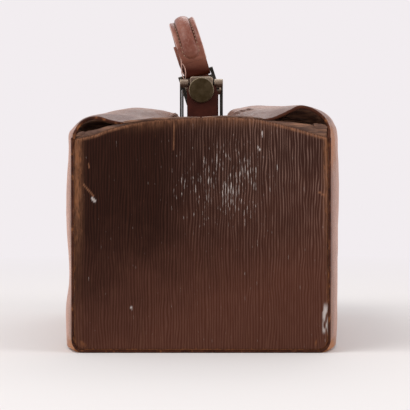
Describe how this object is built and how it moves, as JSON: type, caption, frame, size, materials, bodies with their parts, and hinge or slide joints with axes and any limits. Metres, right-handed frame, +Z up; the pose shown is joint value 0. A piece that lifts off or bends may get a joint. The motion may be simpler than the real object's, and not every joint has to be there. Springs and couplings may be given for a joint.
{
  "type": "gladstone bag",
  "caption": "Rectangular leather gladstone bag with arched end panels, a hinged steel mouth, soft top flaps and a swinging carrying handle.",
  "frame": {"origin": "middle of the underside of the bag, on the surface it stands on", "axes": "+X across the bag, +Y along its length, +Z up"},
  "size_m": [0.3128, 0.4612, 0.3842],
  "materials": {
    "ribbed_leather": "straight-grained dark brown leather, worn",
    "side_leather": "straight-grained brown leather, rubbed",
    "flap_leather": "smooth worn brown leather with a grey sheen",
    "gusset_leather": "soft dark leather",
    "piping_leather": "tan leather welt, worn through at the corners",
    "tab_leather": "smooth red-brown leather",
    "handle_leather": "polished red-brown leather with stitching",
    "board": "stiff brown fibreboard",
    "lining_cloth": "plain cotton lining",
    "frame_steel": "tarnished nickelled steel",
    "dark_steel": "dark oxidised steel",
    "aged_brass": "aged olive-dark brass"
  },
  "bodies": {
    "root": {"base_board": "board", "bottom_leather": "side_leather", "end_board_far": "board", "end_board_near": "board", "end_panel_far": "ribbed_leather", "end_panel_near": "ribbed_leather", "gusset_left_far": "gusset_leather", "gusset_left_near": "gusset_leather", "gusset_right_far": "gusset_leather", "gusset_right_near": "gusset_leather", "hinge_pin_far": "frame_steel", "hinge_pin_near": "frame_steel", "hinge_plate_far": "frame_steel", "hinge_plate_near": "frame_steel", "hinge_rivets": "frame_steel", "hinge_washer_far": "frame_steel", "hinge_washer_near": "frame_steel", "piping_far": "piping_leather", "piping_near": "piping_leather", "side_lining_left": "lining_cloth", "side_lining_right": "lining_cloth", "side_panel_left": "side_leather", "side_panel_right": "side_leather", "top_flap_left": "flap_leather", "top_flap_right": "flap_leather"},
    "jaw_left": {"catch_post_far": "aged_brass", "catch_post_near": "aged_brass", "jaw_cover_left": "flap_leather", "jaw_left": "frame_steel", "lock_staple": "frame_steel"},
    "jaw_right": {"bracket_boss_far": "aged_brass", "bracket_boss_near": "aged_brass", "bracket_knobs_far": "aged_brass", "bracket_knobs_near": "aged_brass", "bracket_rivets": "aged_brass", "bracket_stirrup_far": "dark_steel", "bracket_stirrup_near": "dark_steel", "bracket_tab_far": "tab_leather", "bracket_tab_near": "tab_leather", "catch_rivet_far": "aged_brass", "catch_rivet_near": "aged_brass", "jaw_cover_right": "flap_leather", "jaw_right": "frame_steel", "lock_case": "aged_brass", "pivot_stud_far": "aged_brass", "pivot_stud_near": "aged_brass", "stud_collar_far": "aged_brass", "stud_collar_near": "aged_brass", "stud_nut_far": "aged_brass", "stud_nut_near": "aged_brass"},
    "handle": {"handle_core": "dark_steel", "handle_grip": "handle_leather", "handle_loop_far": "handle_leather", "handle_loop_near": "handle_leather", "handle_ring_far": "dark_steel", "handle_ring_near": "dark_steel"},
    "lock_slide": {"lock_bolt": "frame_steel", "lock_button": "aged_brass"},
    "catch_near": {"catch_arm_near": "aged_brass"},
    "catch_far": {"catch_arm_far": "aged_brass"}
  },
  "joints": [
    {"name": "jaw_left_hinge", "type": "hinge", "parent": "root", "child": "jaw_left", "pos_m": [0, 0, 0.17], "axis": [0, -1, 0], "range_deg": [0, 50], "deforming": ["top_flap_left", "gusset_left_near", "gusset_left_far"]},
    {"name": "jaw_right_hinge", "type": "hinge", "parent": "root", "child": "jaw_right", "pos_m": [0, 0, 0.17], "axis": [0, 1, 0], "range_deg": [0, 50], "deforming": ["top_flap_right", "gusset_right_near", "gusset_right_far"]},
    {"name": "handle_swing", "type": "hinge", "parent": "jaw_right", "child": "handle", "pos_m": [0, 0, 0.2928], "axis": [0, 1, 0], "range_deg": [-68, 48]},
    {"name": "lock_slide", "type": "slide", "parent": "jaw_right", "child": "lock_slide", "axis": [0, 1, 0], "range_m": [0, 0.012]},
    {"name": "catch_near_turn", "type": "hinge", "parent": "jaw_right", "child": "catch_near", "pos_m": [-0.016, -0.14, 0.2555], "axis": [0, 0, 1], "range_deg": [0, 90]},
    {"name": "catch_far_turn", "type": "hinge", "parent": "jaw_right", "child": "catch_far", "pos_m": [-0.016, 0.14, 0.2555], "axis": [0, 0, -1], "range_deg": [0, 90]}
  ]
}
